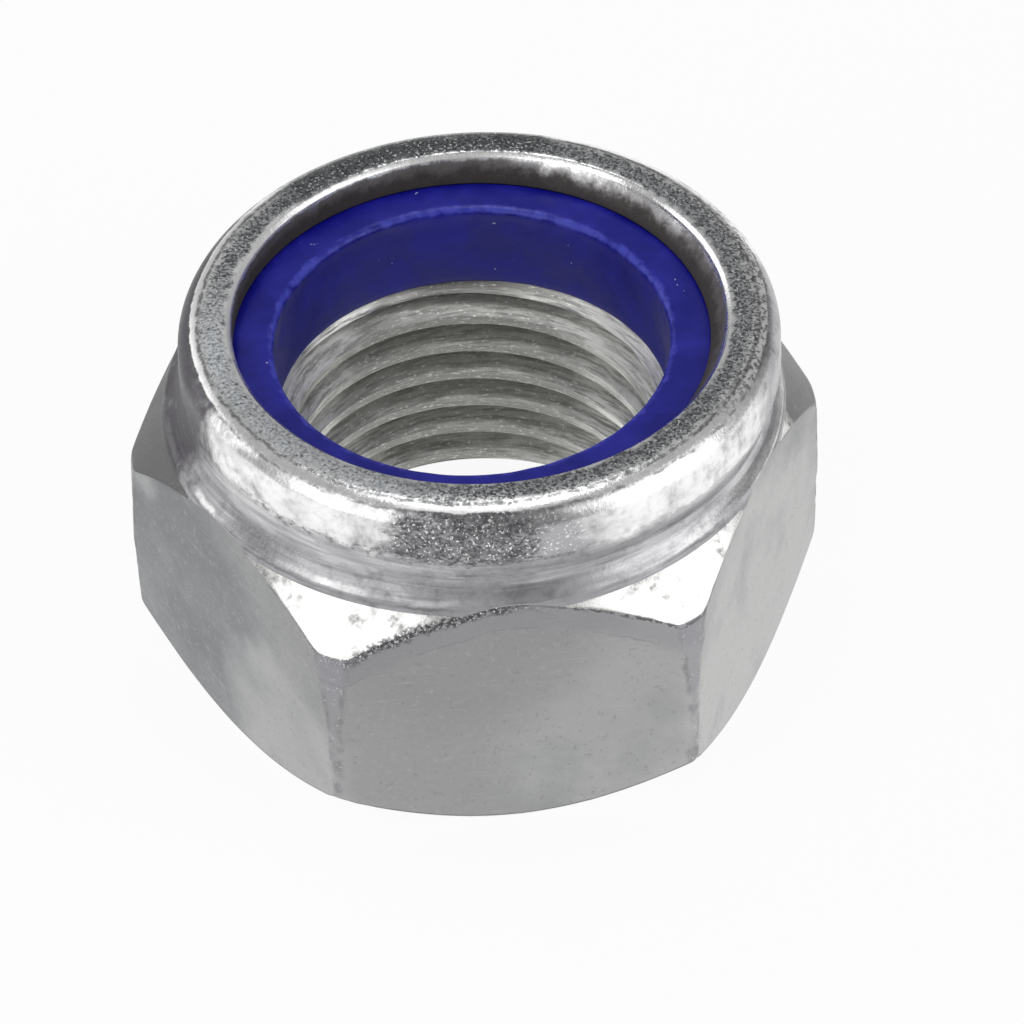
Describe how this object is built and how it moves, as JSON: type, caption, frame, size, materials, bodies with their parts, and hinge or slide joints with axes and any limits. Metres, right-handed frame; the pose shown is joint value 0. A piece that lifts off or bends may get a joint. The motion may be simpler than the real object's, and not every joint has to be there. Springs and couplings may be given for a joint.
{
  "type": "nylon insert lock nut",
  "caption": "Zinc plated steel hexagon lock nut with a fine thread and a blue nylon locking ring held under the rolled-in lip of its collar.",
  "frame": {"origin": "centre of the flat bearing face, on the thread axis", "axes": "+Z along the thread axis from the bearing face to the collar, +X through a corner of the hexagon, +Y square to a flat"},
  "size_m": [0.0276, 0.024, 0.0157],
  "materials": {
    "zinc_plated_steel": "bright zinc plating, polished on the rolled collar and satin on the flats",
    "blue_nylon": "semi-gloss moulded polyamide, ultramarine"
  },
  "bodies": {
    "root": {"nut_body": "zinc_plated_steel", "nylon_insert": "blue_nylon"}
  },
  "joints": []
}
